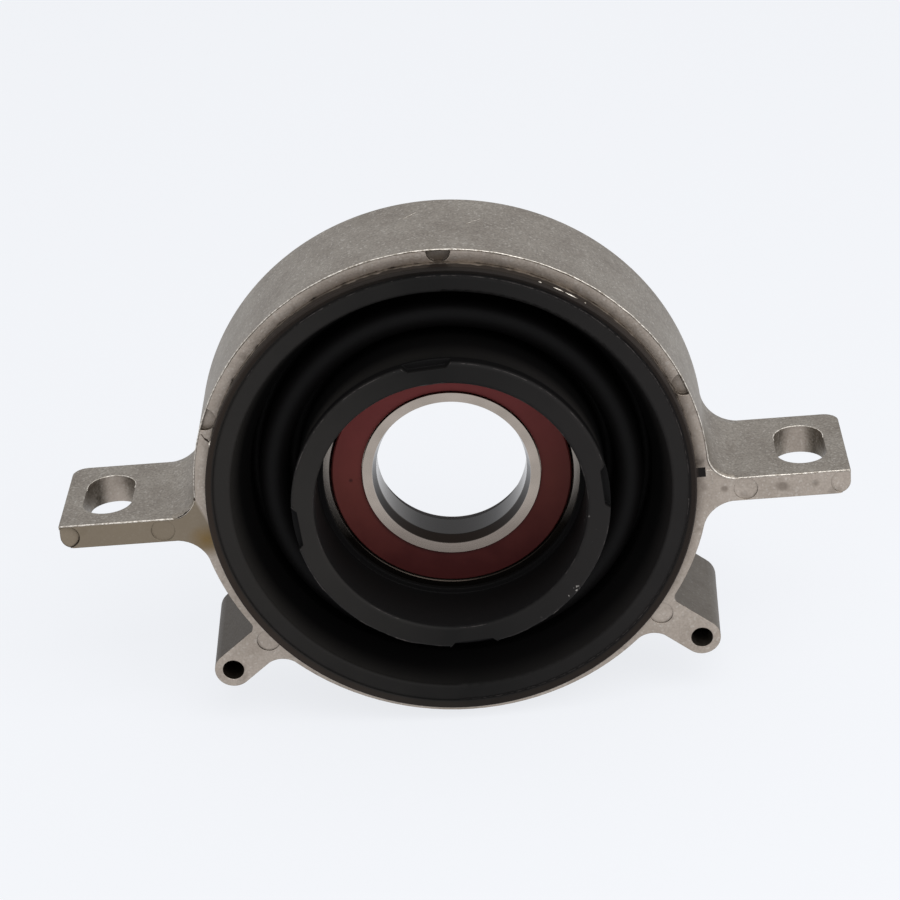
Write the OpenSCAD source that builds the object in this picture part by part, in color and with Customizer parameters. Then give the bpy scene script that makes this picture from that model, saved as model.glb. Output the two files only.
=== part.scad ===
// Driveshaft centre bearing: a sealed ball bearing held by a rubber bellows
// in a die-cast bracket with two slotted ears and two screw lugs.
// The shaft runs along Y, the ears along X and Z is up.
// The origin is the middle of the bearing, and the front looks towards -Y.

/* [Bearing] */
// Diameter of the shaft seat in the inner ring
shaft_d = 35; // [30:1:37]
// Outside diameter of the bearing
bearing_d = 62; // [60:1:64]
// Width of the bearing along the shaft
bearing_w = 14; // [13.5:0.5:17]
// Diameter of one ball
ball_d = 7.938; // [7:0.1:8.2]
// Radial chamfer on the seat side of both rings
ring_chamfer = 0.9; // [0.4:0.1:1.2]
// Length of the lead-in at each end of the shaft seat
bore_lead = 3.4; // [1:0.1:4]
// Radial thickness of the inner ring's face beside the seal
inner_land = 3.1; // [2.6:0.1:3.2]
// Radial thickness of the outer ring's face beside the seal
outer_land = 3.25; // [2.8:0.05:3.4]
// Thickness of a seal
seal_t = 1.2; // [0.8:0.1:1.3]
// How far a seal's inner edge lies behind the faces of the rings
seal_recess = 0.7; // [0.4:0.1:0.9]
// How far a seal's outer edge stands ahead of those faces
seal_proud = 0.3; // [0:0.05:0.5]
// Chamfer of the outer ring round the seal
mouth_chamfer = 0.6; // [0.2:0.1:0.8]
// Running clearance of a seal's lip on the inner ring
seal_gap = 0.2; // [0.05:0.01:0.3]
// Chamfer of a seal's front edge
seal_edge = 0.3; // [0.1:0.05:0.4]
// Radial width of the seal's foot in the outer ring
seal_foot = 1.2; // [0.8:0.1:1.6]
// Depth of the raceway in the inner ring
inner_race_depth = 1.8; // [1.4:0.1:2]
// Depth of the raceway in the outer ring
outer_race_depth = 1.6; // [1.3:0.1:1.8]
// Radial clearance of a ball in each raceway
ball_gap = 0.02; // [0.01:0.01:0.05]
// Sheet thickness of the ball cage
cage_t = 0.6; // [0.4:0.1:0.7]
// Radial width of the ball cage
cage_w = 3.2; // [2.6:0.1:3.4]
// Clearance of a ball in its cage pocket
pocket_gap = 0.08; // [0.04:0.01:0.12]
// Diameter of a cage rivet
rivet_d = 1.3; // [1:0.1:1.5]
// Diameter of a rivet's head
rivet_head_d = 1.9; // [1.6:0.1:2.2]
// Height of a rivet's head
rivet_head_h = 0.4; // [0.3:0.05:0.6]

/* [Inner sleeve] */
// Wall of the steel sleeve that holds the bearing
sleeve_wall = 1.3; // [1:0.1:1.6]
// Radial step of the sleeve in front of the bearing
sleeve_flare = 1.4; // [1:0.1:1.8]
// Length of the sleeve in front of the bearing
sleeve_nose = 15.6; // [12:0.2:17]
// Radial height of the stop behind the bearing
sleeve_stop = 2.2; // [1.2:0.1:2.4]

/* [Rubber] */
// Rubber over the front edge of the sleeve
nose_cover = 2; // [1:0.1:3]
// Rubber lining inside the front of the sleeve
lining_t = 1.5; // [1:0.1:1.8]
// How far the rubber laps over the face of the bearing's outer ring
bead_cover = 1.3; // [0.8:0.1:1.6]
// Thickness of that lap along the shaft
bead_t = 1.2; // [0.8:0.1:1.4]
// How far the sleeve's lip stands out round the sleeve
nose_lip_h = 2.5; // [2.2:0.1:3.3]
// Thickness of the sleeve's lip along the shaft
nose_lip_t = 3; // [2.4:0.1:4]
// Rubber on the sleeve where the bellows leaves it
cover_t = 3.1; // [2.6:0.1:3.3]
// Width of a notch at its bottom
notch_w = 8.6; // [6:0.2:11]
// Length of a notch along the shaft
notch_len = 2.2; // [1.4:0.1:2.4]
// Slant of a notch's sides
notch_slant = 45; // [0:1:50]
// Radial depth of a notch in the sleeve's lip
notch_depth = 1.6; // [1:0.1:2]
// Angle by which the notches are turned from the axes
notch_turn = 4; // [0:1:10]
// Thickness of the bellows
bellows_t = 2.4; // [2:0.1:2.6]
// Width of the valley inside the ridge
inner_valley_w = 2.5; // [2:0.1:2.8]
// Rounding of the ridge
ridge_round = 3.2; // [3:0.1:3.3]
// Width of the valley outside the ridge
valley_w = 2.2; // [1.8:0.1:2.6]
// Front of the ridge, ahead of the bearing's middle
ridge_front = 11; // [9:0.2:13]
// Depth of the valleys behind the ridge's front
valley_depth = 9.6; // [8.6:0.2:11]
// Width of the rubber's front from the outer lip's inner edge to the rim
outer_lip_w = 5.8; // [5:0.1:6.4]
// How far the outer lip stands ahead of the outer sleeve's edge
outer_lip_proud = 1; // [0.7:0.1:1.6]
// Radial step from the outer sleeve's inside to the outer lip's edge
lip_step = 0.3; // [0.1:0.1:0.8]
// Rubber over the inner corner of the outer sleeve's edge
edge_cover = 0.5; // [0.3:0.05:0.6]
// How far the rubber flares out ahead of that edge at its rim
edge_flare = 1.7; // [1:0.1:2.2]
// Chamfer at the rim of that flare
flare_tip = 0.3; // [0.1:0.05:0.5]
// Rounding of the lips' edges
lip_round = 0.9; // [0.4:0.1:1]
// Rubber lining inside the outer sleeve
outer_lining = 1.6; // [1.2:0.1:2]
// Width of the moulding tab that lies over the rim
tab_w = 2.2; // [1.4:0.1:3]
// Angle of the moulding tab above the right ear's side
tab_turn = 1; // [-4:1:4]
// How far the moulding tab reaches over the rim
tab_len = 2.1; // [1.4:0.1:2.4]
// Depth of the moulding tab's faces within the rubber on the sleeve's edge
tab_inset = 0.05; // [0.02:0.01:0.1]

/* [Bracket] */
// Inside diameter of the bracket's ring
ring_bore = 112; // [112:0.5:114]
// Wall of the ring at its front rim
ring_wall = 3; // [2.6:0.1:4]
// Depth of the bracket along the shaft
bracket_depth = 30; // [28:0.5:34]
// Distance of the front rim ahead of the bearing's middle
rim_front = 14.5; // [13:0.1:15]
// Growth in radius of the ring from front to back, for release from the die
ring_draft = 0.4; // [0:0.1:0.6]
// Thickness of the stop at the back of the ring
stop_t = 2; // [1.5:0.1:2.6]
// Radial height of the stop at the back of the ring
stop_h = 2.4; // [1.6:0.1:2.8]
// Wall of the pressed-in outer sleeve
outer_sleeve_wall = 1.2; // [1:0.1:1.6]
// How far the outer sleeve stands ahead of the rim
outer_sleeve_proud = 2.7; // [1.5:0.1:3.5]
// Rounding of the ring's back edge
back_round = 1.2; // [0.6:0.1:1.6]

/* [Ears] */
// Length over both ears
ear_span = 182.4; // [176:0.2:190]
// Height of the ears' top faces, below the shaft's axis
ear_drop = 2.6; // [0:0.1:6]
// Thickness of an ear at its front
ear_t = 5.8; // [5:0.1:8]
// Growth in thickness of an ear from front to back
ear_draft = 1.3; // [0:0.1:2]
// Distance of a slot's centre from the end of its ear
slot_inset = 10.2; // [8:0.1:12]
// Width of a slot
slot_w = 11.6; // [9:0.1:12]
// Length of a slot along the shaft
slot_len = 19.7; // [14:0.1:22]
// Lower corner radius at the ends of the ears
ear_corner = 3; // [1:0.1:4]
// Back corner radius at the ends of the ears
ear_back_corner = 3.5; // [1.2:0.1:6]
// Fillet above the root of an ear
ear_fillet_top = 6.5; // [3:0.1:9]
// Fillet below the root of an ear
ear_fillet_under = 8; // [4:0.1:10]

/* [Screw lugs] */
// Radius on which the lugs' holes lie
lug_r = 70.6; // [69:0.1:74]
// Angle of a lug from straight down
lug_angle = 51.7; // [46:0.1:56]
// Width of a lug at its front
lug_w = 8.8; // [8.4:0.1:10]
// Growth in width of a lug from front to back
lug_draft = 1.8; // [0:0.1:2.4]
// Diameter of a lug's hole
lug_hole_d = 5.1; // [4.2:0.1:5.6]
// Depth of a lug's hole
lug_hole_depth = 22; // [15:0.5:26]
// Fillet on the upper side of a lug's root
lug_fillet_top = 2; // [1:0.1:3]
// Fillet on the under side of a lug's root
lug_fillet_under = 5.5; // [3:0.1:7]

/* [Casting marks] */
// Diameter of an ejector-pin mark
pin_mark_d = 5.5; // [4:0.1:5.6]
// Depth of a shallow ejector-pin mark
pin_mark_depth = 0.3; // [0.1:0.05:0.6]
// Depth of a deep ejector-pin mark, as at the left ear's end
deep_mark_depth = 1.2; // [0.5:0.05:1.6]
// Distance of the inner ear marks from the middle
ear_mark_in = 67.2; // [66:0.1:69]
// Distance of the outer ear marks' centres from the ears' ends
ear_mark_out = 1.8; // [1:0.1:3]
// Radius on which the lugs' marks lie
lug_mark_r = 58.9; // [58.8:0.1:62]
// How far the rim marks' centres lie inside the rim's edge
rim_mark_in = 0.4; // [0:0.1:1]
// Angle of the rim's side marks above the ears
rim_mark_angle = 22; // [16:1:40]
// Angle of the rim's top mark above the right ear
top_mark_angle = 88; // [80:1:100]

/* [Hidden] */
$fn = 96;
eps = 0.01;
sink = 0.05;
ball_count = 11;
drill_angle = 118;

shaft_r = shaft_d / 2;
bearing_r = bearing_d / 2;
half_w = bearing_w / 2;
ball_r = ball_d / 2;
inner_face_r = shaft_r + inner_land;
outer_face_r = bearing_r - outer_land;
pitch_r = (inner_face_r + outer_face_r) / 2;
race_r = ball_r + ball_gap;
inner_shoulder_r = pitch_r - ball_r + inner_race_depth;
outer_shoulder_r = pitch_r + ball_r - outer_race_depth;
seal_back = half_w - seal_recess - seal_t;

rim_y = -rim_front;
back_y = rim_y + bracket_depth;
mid_y = (rim_y + back_y) / 2;
bore_r = ring_bore / 2;
rim_r = bore_r + ring_wall;
stop_y = back_y - stop_t;
outer_sleeve_in = bore_r - outer_sleeve_wall;
sleeve_front = rim_y - outer_sleeve_proud;
lip_y = sleeve_front - outer_lip_proud;
lip_in_r = bore_r - outer_lip_w;
lip_edge_r = outer_sleeve_in - lip_step;

seat_out_r = bearing_r + sleeve_wall;
nose_in_r = bearing_r + sleeve_flare;
nose_out_r = nose_in_r + sleeve_wall;
nose_y = -half_w - sleeve_nose;
nose_lip_y = nose_y - nose_cover;
nose_lip_r = nose_out_r + nose_lip_h;
cover_r = seat_out_r + cover_t;
sleeve_back = half_w + sleeve_wall;

ridge_r = cover_r + inner_valley_w + ridge_round;
ridge_y = -ridge_front + ridge_round;
ridge_in = ridge_round - bellows_t;
valley_y = -ridge_front + valley_depth - valley_w / 2;
valley_round = valley_w / 2;
valley_r = ridge_r + ridge_round + valley_round;
inner_valley_round = inner_valley_w / 2;
inner_valley_r = cover_r + inner_valley_round;

ear_end = ear_span / 2;
slot_x = ear_end - slot_inset;
ear_top = -ear_drop;
ear_bottom = ear_top - ear_t;
lug_half = lug_w / 2;
lug_flare = lug_draft / 2;
trim = 2;
raw_y = rim_y - trim;
raw_grow = trim / bracket_depth;

// Turns a profile of radius and distance along Y into a ring round the shaft.
module around_shaft() {
    rotate([-90, 0, 0]) rotate_extrude() children();
}

// Extrudes an outline in X and Z along the shaft, from one distance to another.
module along_shaft(from, to) {
    translate([0, to, 0]) rotate([90, 0, 0]) linear_extrude(to - from) children();
}

// A rectangle in a ring's profile, by its radii and its distances along the shaft.
module band(r_in, r_out, from, to) {
    translate([r_in, from]) square([r_out - r_in, to - from]);
}

// A rectangle with its two front corners rounded.
module lip(r_in, r_out, from, to, round_r) {
    band(r_in, r_out, from + round_r, to);
    band(r_in + round_r, r_out - round_r, from, to);
    for (r = [r_in + round_r, r_out - round_r]) translate([r, from + round_r]) circle(round_r);
}

// Half of a flat ring in a profile, on the front (-1) or back (+1) side of its centre.
module fold(r, y, r_out, r_in, side) {
    translate([r, y]) difference() {
        circle(r_out);
        if (r_in > 0) circle(r_in);
        translate([-r_out - 1, side > 0 ? -r_out - 1 : 0]) square([2 * r_out + 2, r_out + 1]);
    }
}

// The fillet in the corner between the ring and a flat that lies half_h above the X axis.
// Both its ends run a little into the metal, so that it also meets drafted faces.
module root_fillet(half_h, fillet) {
    flat_h = half_h - sink;
    reach = rim_r - sink + fillet;
    c = [sqrt(pow(reach, 2) - pow(flat_h + fillet, 2)), flat_h + fillet];
    wall_mid = bore_r + ring_wall / 2;
    difference() {
        polygon([[c.x, flat_h - 1], c, c * wall_mid / reach, [wall_mid, flat_h - 1]]);
        translate(c) circle(fillet);
    }
}

// A bearing ring's profile from its seat to its shoulder, with chamfered corners at the seat.
module ring_profile(seat_r, shoulder_r, chamfer_len) {
    lead_r = seat_r + sign(shoulder_r - seat_r) * ring_chamfer;
    lead_y = half_w - chamfer_len;
    polygon([[lead_r, -half_w], [shoulder_r, -half_w], [shoulder_r, half_w], [lead_r, half_w],
             [seat_r, lead_y], [seat_r, -lead_y]]);
}

// The bracket's ring, with draft and a back stop, left long at its front.
module bracket_ring() {
    back_r = rim_r + ring_draft;
    edge_y = back_y - back_round;
    around_shaft() difference() {
        union() {
            polygon([[bore_r - stop_h, raw_y], [rim_r - ring_draft * raw_grow, raw_y],
                     [back_r, edge_y], [back_r - back_round, edge_y],
                     [back_r - back_round, back_y], [bore_r - stop_h, back_y]]);
            translate([back_r - back_round, edge_y]) circle(back_round);
        }
        band(bore_r - stop_h - 1, bore_r, raw_y - 1, stop_y);
    }
}

// The cut that makes one flat front face on ring, ears and lugs.
module front_cut() {
    translate([-ear_span, raw_y - 1, -ear_span]) cube([2 * ear_span, trim + 1, 2 * ear_span]);
}

// One ear on the +X side: a flat top, a drafted under side, root fillets and a slot.
module ear() {
    rake = atan(ear_draft / bracket_depth);
    deep = ear_t + ear_draft + 2 * ear_fillet_under;
    difference() {
        union() {
            intersection() {
                translate([0, rim_y, 0]) rotate([-rake, 0, 0])
                    along_shaft(-trim - ear_t, bracket_depth + ear_t) ear_front();
                translate([0, 0, ear_top - deep]) linear_extrude(deep) ear_plan();
            }
            along_shaft(raw_y, back_y) root_fillet(ear_top, ear_fillet_top);
        }
        translate([slot_x, mid_y, ear_top - deep]) linear_extrude(deep + 1) slot();
    }
}

// The ear's under side and end seen from the front, left tall so that a flat top can be cut.
module ear_front() {
    tall = 2 * ear_t;
    root = bore_r + ring_wall / 2;
    translate([root, ear_bottom]) square([ear_end - ear_corner - root, tall]);
    translate([root, ear_bottom + ear_corner]) square([ear_end - root, tall]);
    translate([ear_end - ear_corner, ear_bottom + ear_corner]) circle(ear_corner);
    mirror([0, 1]) root_fillet(-ear_bottom, ear_fillet_under);
}

// An ear seen from above, with its back corner rounded.
module ear_plan() {
    long = bracket_depth + trim;
    translate([0, raw_y]) square([ear_end - ear_back_corner, long]);
    translate([0, raw_y]) square([ear_end, long - ear_back_corner]);
    translate([ear_end, back_y] - [ear_back_corner, ear_back_corner]) circle(ear_back_corner);
}

// The outline of a slot, long along the shaft.
module slot() {
    straight = slot_len - slot_w;
    translate([-slot_w / 2, -straight / 2]) square([slot_w, straight]);
    for (s = [-1, 1]) translate([0, s * straight / 2]) circle(d = slot_w);
}

// One lug on the +X side: a drafted tongue with a round end and root fillets.
module lug() {
    root = bore_r + ring_wall / 2;
    front_half = lug_half - lug_flare * raw_grow;
    back_half = lug_half + lug_flare;
    rotate([0, 90 - lug_angle, 0]) {
        translate([lug_r, raw_y, 0]) rotate([-90, 0, 0])
            cylinder(h = bracket_depth + trim, r1 = front_half, r2 = back_half);
        translate([root, 0, 0]) rotate([90, 0, 90])
            linear_extrude(lug_r - root)
                polygon([[raw_y, -front_half], [raw_y, front_half],
                         [back_y, back_half], [back_y, -back_half]]);
        along_shaft(raw_y, back_y) {
            root_fillet(lug_half, lug_fillet_top);
            mirror([0, 1]) root_fillet(lug_half, lug_fillet_under);
        }
    }
}

// The blind hole in a lug.
module lug_hole() {
    rotate([0, 90 - lug_angle, 0]) translate([lug_r, rim_y, 0]) rotate([-90, 0, 0]) {
        translate([0, 0, -1]) cylinder(h = lug_hole_depth + 1, d = lug_hole_d);
        translate([0, 0, lug_hole_depth - eps])
            cylinder(h = lug_hole_d / 2 / tan(drill_angle / 2), d1 = lug_hole_d, d2 = 0);
    }
}

// A shallow round mark left by an ejector pin in the front face.
module pin_mark(x, z, depth = pin_mark_depth) {
    translate([x, rim_y - 1, z]) rotate([-90, 0, 0]) cylinder(h = depth + 1, d = pin_mark_d);
}

module both_sides() {
    children();
    mirror([1, 0, 0]) children();
}

module bracket() {
    mark_z = (ear_top + ear_bottom) / 2;
    end_mark = ear_end - ear_mark_out;
    rim_mark_r = rim_r - rim_mark_in;
    color([0.58, 0.56, 0.53]) difference() {
        union() {
            bracket_ring();
            both_sides() {
                ear();
                lug();
            }
        }
        front_cut();
        both_sides() {
            lug_hole();
            pin_mark(ear_mark_in, mark_z);
            rotate([0, 90 - lug_angle, 0]) pin_mark(lug_mark_r, 0);
            rotate([0, -rim_mark_angle, 0]) pin_mark(rim_mark_r, 0, deep_mark_depth);
        }
        pin_mark(end_mark, mark_z);
        pin_mark(-end_mark, mark_z, deep_mark_depth);
        rotate([0, -top_mark_angle, 0]) pin_mark(rim_mark_r, 0, deep_mark_depth);
    }
}

module outer_sleeve() {
    color([0.6, 0.6, 0.6]) around_shaft() band(outer_sleeve_in, bore_r, sleeve_front, stop_y);
}

module rubber_bellows() {
    color([0.16, 0.16, 0.165]) difference() {
        union() {
            around_shaft() rubber_profile();
            moulding_tab();
        }
        lip_notches();
    }
}

// The tab of rubber squeezed out of the mould's vent, over the rim on the +X side.
module moulding_tab() {
    tab_t = edge_cover - 2 * tab_inset;
    rotate([0, -tab_turn, 0]) translate([outer_sleeve_in, sleeve_front - edge_cover + tab_inset, -tab_w / 2])
        cube([outer_sleeve_wall + tab_len, tab_t, tab_w]);
}

// The rubber's section: outer lip and lining, W-shaped bellows, sleeve cover and its lip.
module rubber_profile() {
    lip(lip_in_r, lip_edge_r, lip_y, rim_y, lip_round);
    band(lip_edge_r - lip_round, outer_sleeve_in, sleeve_front - eps, rim_y);
    edge_rubber();
    band(outer_sleeve_in - outer_lining, outer_sleeve_in, rim_y - eps, stop_y - outer_lining);
    slope();
    fold(valley_r, valley_y, valley_round + bellows_t, valley_round, 1);
    band(ridge_r + ridge_in, ridge_r + ridge_round, ridge_y, valley_y);
    fold(ridge_r, ridge_y, ridge_round, ridge_in, -1);
    band(ridge_r - ridge_round, ridge_r - ridge_in, ridge_y, valley_y);
    fold(inner_valley_r, valley_y, inner_valley_round + bellows_t, inner_valley_round, 1);
    sleeve_cover();
}

// The rubber over the outer sleeve's edge, which flares forward towards its rim.
module edge_rubber() {
    root_r = lip_edge_r - lip_round;
    corner_y = sleeve_front - edge_cover;
    tip_y = sleeve_front - edge_flare;
    polygon([[root_r, sleeve_front], [root_r, corner_y], [lip_edge_r, corner_y],
             [bore_r - flare_tip, tip_y], [bore_r, tip_y + flare_tip], [bore_r, sleeve_front]]);
}

// The bellows' outer wall, which slopes in from the outer lip and then runs straight back.
module slope() {
    foot_in = valley_r + valley_round;
    foot_out = foot_in + bellows_t;
    polygon([[lip_in_r, lip_y + lip_round], [outer_sleeve_in, rim_y],
             [outer_sleeve_in - outer_lining, rim_y + bellows_t],
             [foot_out, ridge_y + bellows_t / 2], [foot_out, valley_y],
             [foot_in, valley_y], [foot_in, ridge_y]]);
}

// The rubber over the inner sleeve, inside and outside, with the lip at its front.
module sleeve_cover() {
    difference() {
        union() {
            lip(nose_in_r - lining_t, nose_lip_r, nose_lip_y, nose_lip_y + nose_lip_t, lip_round);
            band(nose_in_r - lining_t, cover_r, nose_lip_y + nose_lip_t - eps, -half_w);
            band(bearing_r - bead_cover, nose_in_r, -half_w - bead_t, -half_w);
            band(seat_out_r, cover_r, -half_w - eps, half_w);
        }
        sleeve_profile();
    }
}

// Four shallow notches with slanted sides in the front edge of the sleeve's lip.
module lip_notches() {
    floor_r = nose_lip_r - notch_depth;
    open_r = nose_lip_r + 1;
    half_floor = notch_w / 2;
    half_open = half_floor + (open_r - floor_r) * tan(notch_slant);
    for (a = [0 : 90 : 270])
        rotate([0, -a - notch_turn, 0])
            along_shaft(nose_lip_y - 1, nose_lip_y + notch_len)
                polygon([[floor_r, -half_floor], [floor_r, half_floor],
                         [open_r, half_open], [open_r, -half_open]]);
}

// The inner sleeve's section: flared nose, seat of the bearing and stop behind it.
module sleeve_profile() {
    flare_y = -half_w - sleeve_flare;
    polygon([[nose_in_r, nose_y], [nose_out_r, nose_y], [nose_out_r, flare_y],
             [seat_out_r, flare_y + sleeve_flare], [seat_out_r, sleeve_back],
             [bearing_r - sleeve_stop, sleeve_back], [bearing_r - sleeve_stop, half_w],
             [bearing_r, half_w], [bearing_r, flare_y + sleeve_flare], [nose_in_r, flare_y]]);
}

module bearing_sleeve() {
    color([0.5, 0.5, 0.5]) around_shaft() sleeve_profile();
}

module outer_ring() {
    cut = mouth_chamfer + 1;
    color([0.66, 0.65, 0.63]) around_shaft() difference() {
        ring_profile(bearing_r, outer_shoulder_r, ring_chamfer);
        for (s = [-1, 1])
            translate([0, s * half_w]) square([2 * outer_face_r, 2 * (half_w - seal_back)], center = true);
        for (s = [-1, 1])
            translate([outer_face_r, s * half_w]) polygon([[-1, s], [cut, s], [-1, -s * cut]]);
        translate([pitch_r, 0]) circle(race_r);
    }
}

module inner_ring() {
    color([0.66, 0.65, 0.63]) around_shaft() difference() {
        ring_profile(shaft_r, inner_shoulder_r, bore_lead);
        for (s = [-1, 1])
            translate([inner_face_r, s > 0 ? seal_back - seal_gap : -half_w - 1])
                square([ball_d, half_w + 1 - seal_back + seal_gap]);
        translate([pitch_r, 0]) circle(race_r);
    }
}

// The front seal: a disc that stands out towards its rim, with a thicker foot in the outer ring.
module seal() {
    lip_r = inner_face_r + seal_gap;
    lip_back = -seal_back - seal_t / 4;
    foot_r = outer_face_r - seal_foot;
    front_y = -half_w - seal_proud;
    around_shaft()
        polygon([[lip_r, -half_w + seal_recess], [outer_face_r - seal_edge, front_y],
                 [outer_face_r, front_y + seal_edge], [outer_face_r, -seal_back],
                 [foot_r, -seal_back], [foot_r, lip_back], [lip_r, lip_back]]);
}

module front_seal() {
    color([0.36, 0.17, 0.16]) seal();
}

module rear_seal() {
    color([0.36, 0.17, 0.16]) mirror([0, 1, 0]) seal();
}

// Half of the pressed cage: a flat ring that arches over every ball.
module cage_half() {
    pocket_r = ball_r + pocket_gap;
    difference() {
        union() {
            along_shaft(0, cage_t) cage_band();
            intersection() {
                along_shaft(0, ball_d) cage_band();
                at_balls() rotate([0, 90, 0]) cylinder(h = 2 * cage_w, r = pocket_r + cage_t, center = true);
            }
        }
        at_balls() rotate([0, 90, 0]) cylinder(h = 3 * cage_w, r = pocket_r, center = true);
        between_balls() rotate([-90, 0, 0]) cylinder(h = 4 * cage_t, d = rivet_d, center = true);
    }
}

// The flat ring between the rings' shoulders that the cage is pressed from.
module cage_band() {
    difference() {
        circle(pitch_r + cage_w / 2);
        circle(pitch_r - cage_w / 2);
    }
}

module at_balls() {
    for (i = [0 : ball_count - 1])
        rotate([0, i * 360 / ball_count, 0]) translate([pitch_r, 0, 0]) children();
}

module between_balls() {
    rotate([0, 180 / ball_count, 0]) at_balls() children();
}

module front_cage_half() {
    color([0.62, 0.6, 0.55]) mirror([0, 1, 0]) cage_half();
}

module rear_cage_half() {
    color([0.62, 0.6, 0.55]) cage_half();
}

// Rivets with a low head on both sides of the cage.
module cage_rivets() {
    color([0.55, 0.54, 0.52]) between_balls() rotate([-90, 0, 0]) {
        cylinder(h = 2 * cage_t, d = rivet_d, center = true);
        for (s = [-1, 1])
            translate([0, 0, s * (cage_t + rivet_head_h / 2)])
                cylinder(h = rivet_head_h, d = rivet_head_d, center = true);
    }
}

// One ball of the row, counted from the +X side.
module ball(i) {
    color([0.8, 0.8, 0.8])
        rotate([0, (i - 1) * 360 / ball_count, 0]) translate([pitch_r, 0, 0]) sphere(ball_r);
}

bracket();
outer_sleeve();
rubber_bellows();
bearing_sleeve();
outer_ring();
inner_ring();
front_seal();
rear_seal();
front_cage_half();
rear_cage_half();
cage_rivets();
ball(1);  // ball_01
ball(2);  // ball_02
ball(3);  // ball_03
ball(4);  // ball_04
ball(5);  // ball_05
ball(6);  // ball_06
ball(7);  // ball_07
ball(8);  // ball_08
ball(9);  // ball_09
ball(10);  // ball_10
ball(11);  // ball_11
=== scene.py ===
import math

import bpy
from mathutils import Matrix, Vector, noise


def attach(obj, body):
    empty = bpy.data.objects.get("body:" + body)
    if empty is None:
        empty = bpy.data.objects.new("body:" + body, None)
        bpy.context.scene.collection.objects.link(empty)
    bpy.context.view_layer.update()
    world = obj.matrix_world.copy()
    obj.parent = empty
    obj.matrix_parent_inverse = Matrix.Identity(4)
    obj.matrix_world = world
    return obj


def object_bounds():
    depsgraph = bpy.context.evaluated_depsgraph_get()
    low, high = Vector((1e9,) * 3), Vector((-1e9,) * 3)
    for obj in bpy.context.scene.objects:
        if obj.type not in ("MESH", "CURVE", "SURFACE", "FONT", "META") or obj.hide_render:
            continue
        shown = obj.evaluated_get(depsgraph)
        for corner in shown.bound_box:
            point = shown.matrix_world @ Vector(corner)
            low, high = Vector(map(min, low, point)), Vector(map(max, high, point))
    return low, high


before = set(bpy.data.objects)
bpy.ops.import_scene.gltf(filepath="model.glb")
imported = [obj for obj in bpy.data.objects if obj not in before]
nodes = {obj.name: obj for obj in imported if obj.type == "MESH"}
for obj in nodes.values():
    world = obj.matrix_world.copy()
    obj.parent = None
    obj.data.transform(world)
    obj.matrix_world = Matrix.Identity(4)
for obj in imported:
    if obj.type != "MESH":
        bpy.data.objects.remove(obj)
cadBox = [list(corner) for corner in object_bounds()]  # the CAD box, before anything is added
mm = 0.001
print("frame loaded:", len(nodes), "nodes")


def linear(hexText):  # sRGB hex to linear RGBA
    parts = [int(hexText[i:i + 2], 16) / 255 for i in (1, 3, 5)]
    return [p / 12.92 if p <= 0.04045 else ((p + 0.055) / 1.055) ** 2.4 for p in parts] + [1]


def scaleFor(sizeMm):  # texture scale for a pattern whose features are this large
    return 1 / (sizeMm * mm)


def spanMm(ends):  # settings of a range that runs between two lengths
    return {"From Min": ends[0] * mm, "From Max": ends[1] * mm}


def placeMm(place):  # a place in mm, as a socket takes it
    return [v * mm for v in place]


def addNode(tree, kind, settings={}, links={}):  # settings are attributes, inputs or ramp stops
    node = tree.nodes.new("ShaderNode" + kind)
    for key, value in settings.items():
        if key == "ramp":
            stops = node.color_ramp.elements
            while len(stops) < len(value):
                stops.new(0.5)
            for stop, (place, colour) in zip(stops, value):
                stop.position = place
                stop.color = linear(colour)
        elif isinstance(key, str) and hasattr(node, key):
            setattr(node, key, value)
        else:
            node.inputs[key].default_value = value
    for key, source in links.items():
        tree.links.new(source, node.inputs[key])
    return node


def newMaterial(name):
    material = bpy.data.materials.new(name)
    material.use_nodes = True
    return material, material.node_tree, material.node_tree.nodes["Principled BSDF"]


def dress(nodeName, material):  # gives a CAD node a new finish
    slots = nodes[nodeName].data.materials
    slots.clear()
    slots.append(material)


cameraSet = {
    "placeMm": (30.95, -606.47, 298.98),  # fitted to the circles of rim, lips and bearing
    "right": (0.99631, 0.00883, -0.08541),
    "up": (0.07242, 0.44813, 0.89103),
    "forward": (-0.04614, 0.89393, -0.44583),
    "lens": 116.0, "sensor": 36,
    "shift": (-0.0016, 0.0264),
    "nearest": 0.01,
}


def makeCamera():
    data = bpy.data.cameras.new("camera")
    data.lens = cameraSet["lens"]
    data.sensor_width = cameraSet["sensor"]
    data.shift_x, data.shift_y = cameraSet["shift"]
    data.clip_start = cameraSet["nearest"]
    camera = bpy.data.objects.new("camera", data)
    bpy.context.scene.collection.objects.link(camera)
    axes = [Vector(cameraSet["right"]), Vector(cameraSet["up"]), -Vector(cameraSet["forward"])]
    turn = Matrix([axis.normalized() for axis in axes]).transposed()
    camera.matrix_world = Matrix.Translation(Vector(cameraSet["placeMm"]) * mm) @ turn.to_4x4()
    bpy.context.scene.camera = camera


stageSet = {
    "backdrop": "#f5f7fb",
    "paper": "#f3f4f7", "paperRough": 0.9, "paperShine": 0.1,
    "floorSize": 8.0,
    "dropMm": 0.2,  # floor below the lowest point
    "skyForObject": 0.62,  # even light from all round
    "key": {"place": (0.25, -0.75, 1.1), "size": 0.9, "power": 8.5},
    "fill": {"place": (0.42, -0.32, 0.36), "size": 0.35, "power": 0.9},  # close, so the right side is lighter
    "floorGlow": 0.85,  # share of the floor that only the camera and mirrors see
}


def makeLamp(name, lamp):
    data = bpy.data.lights.new(name, "AREA")
    data.size = lamp["size"]
    data.energy = lamp["power"]
    obj = bpy.data.objects.new(name, data)
    bpy.context.scene.collection.objects.link(obj)
    obj.location = lamp["place"]
    obj.rotation_euler = (-Vector(lamp["place"])).to_track_quat("-Z", "Y").to_euler()


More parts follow.
